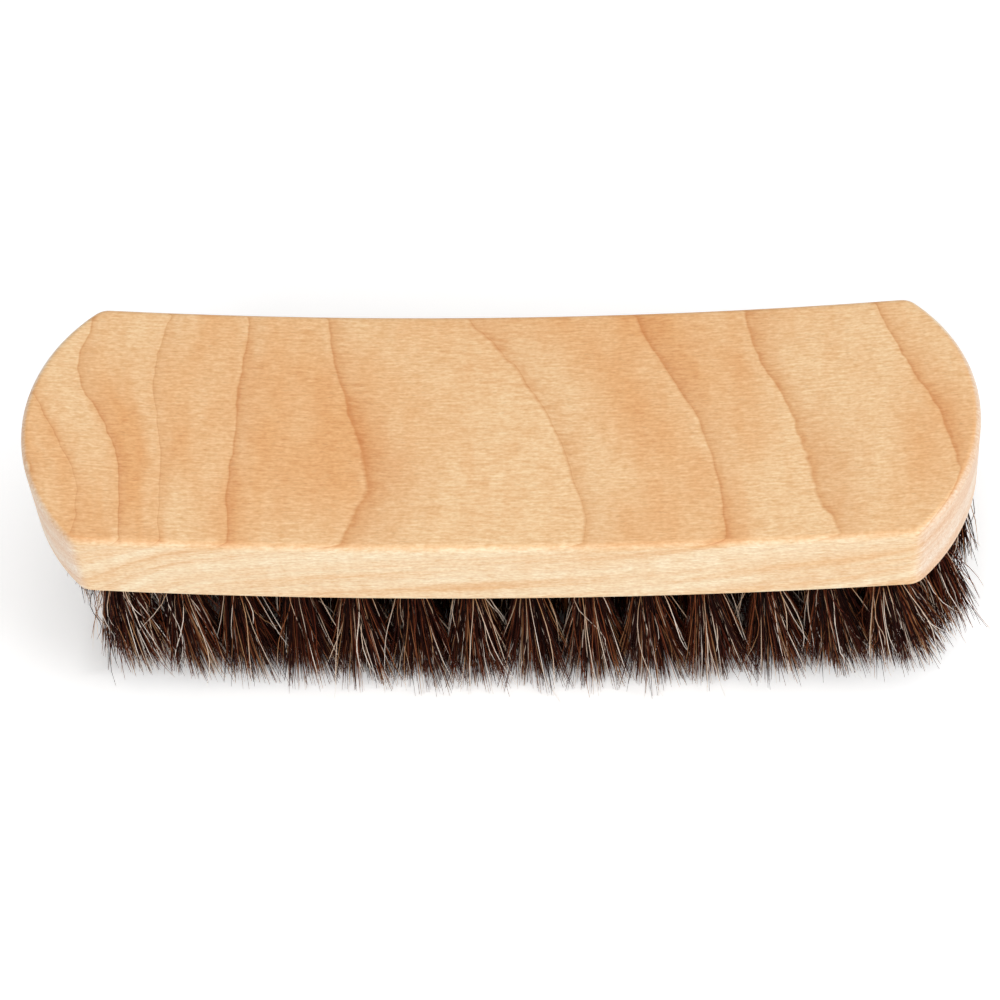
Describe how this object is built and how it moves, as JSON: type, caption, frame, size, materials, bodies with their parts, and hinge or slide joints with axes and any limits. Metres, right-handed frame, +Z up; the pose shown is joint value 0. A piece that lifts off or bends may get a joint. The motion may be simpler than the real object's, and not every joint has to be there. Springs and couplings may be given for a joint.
{
  "type": "shoe shine brush",
  "caption": "Hand brush for polishing shoes: a bent maple block with bowed ends and rounded edges, set underneath with staggered rows of fanned horsehair tufts.",
  "frame": {"origin": "middle of the brush's footprint, at the height of the middle tufts' level tips", "axes": "+X along the brush, +Y across it towards its back, +Z up from the hair to the block"},
  "size_m": [0.1718, 0.0636, 0.0428],
  "materials": {
    "maple": "satin",
    "horsehair": "matte",
    "steel_wire": "satin"
  },
  "bodies": {
    "root": {"tuft_column_01": "horsehair", "tuft_column_02": "horsehair", "tuft_column_03": "horsehair", "tuft_column_04": "horsehair", "tuft_column_05": "horsehair", "tuft_column_06": "horsehair", "tuft_column_07": "horsehair", "tuft_column_08": "horsehair", "tuft_column_09": "horsehair", "tuft_column_10": "horsehair", "tuft_column_11": "horsehair", "tuft_column_12": "horsehair", "tuft_column_13": "horsehair", "tuft_column_14": "horsehair", "tuft_column_15": "horsehair", "tuft_column_16": "horsehair", "tuft_column_17": "horsehair", "tuft_column_18": "horsehair", "tuft_column_19": "horsehair", "tuft_column_20": "horsehair", "tuft_column_21": "horsehair", "tuft_column_22": "horsehair", "tuft_column_23": "horsehair", "tuft_column_24": "horsehair", "tuft_column_25": "horsehair", "tuft_column_26": "horsehair", "tuft_column_27": "horsehair", "tuft_column_28": "horsehair", "tuft_column_29": "horsehair", "tuft_column_30": "horsehair", "tuft_column_31": "horsehair", "wire_anchors": "steel_wire", "wood_block": "maple"}
  },
  "joints": []
}
